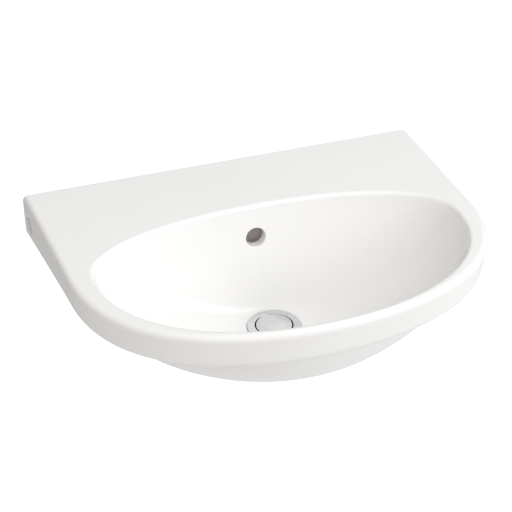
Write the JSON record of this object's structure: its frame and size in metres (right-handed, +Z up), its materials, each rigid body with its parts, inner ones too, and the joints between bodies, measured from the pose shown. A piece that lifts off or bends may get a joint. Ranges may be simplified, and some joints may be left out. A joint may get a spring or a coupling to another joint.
{
  "type": "hand basin",
  "caption": "Wall-hung ceramic hand basin with an oval bowl, straight back deck, overflow hole and push-open waste on wall studs.",
  "frame": {"origin": "on the wall plane, midway between the two wall studs", "axes": "+Z up, +X to the right seen from the front, -Y out of the wall towards the user"},
  "size_m": [0.4998, 0.4411, 0.1945],
  "materials": {
    "glaze": "glossy white glaze",
    "chrome": "polished",
    "brass": "machined",
    "rubber": "matt",
    "nylon": "moulded",
    "white_plastic": "moulded gloss",
    "zinc_steel": "zinc plated",
    "spring_steel": "drawn wire"
  },
  "bodies": {
    "basin": {"basin_body": "glaze", "side_plugs": "white_plastic", "wall_studs": "zinc_steel", "stud_sleeves": "nylon", "stud_washers": "zinc_steel", "stud_nuts": "zinc_steel", "waste_flange": "chrome", "flange_seal": "rubber", "waste_tube": "brass", "lower_seal": "rubber", "slip_washer": "nylon", "back_nut": "brass", "latch_housing": "brass", "latch_spring": "spring_steel", "spring_retainer": "brass"},
    "plug": {"plug_cap": "chrome", "plug_seal": "rubber", "height_nut": "brass", "plunger": "brass"},
    "rotor": {"latch_rotor": "nylon"}
  },
  "joints": [
    {"name": "plug_lift", "type": "slide", "parent": "basin", "child": "plug", "axis": [0, 0, 1], "range_m": [-0.001, 0.009], "deforming": ["latch_spring"]},
    {"name": "rotor_turn", "type": "hinge", "parent": "plug", "child": "rotor", "pos_m": [0, -0.184, -0.09], "axis": [0, 0, 1], "range_deg": [-5, 45]}
  ],
  "couplings": [
    {"joint": "rotor_turn", "follows": "plug_lift", "rad_per_m": 87}
  ]
}
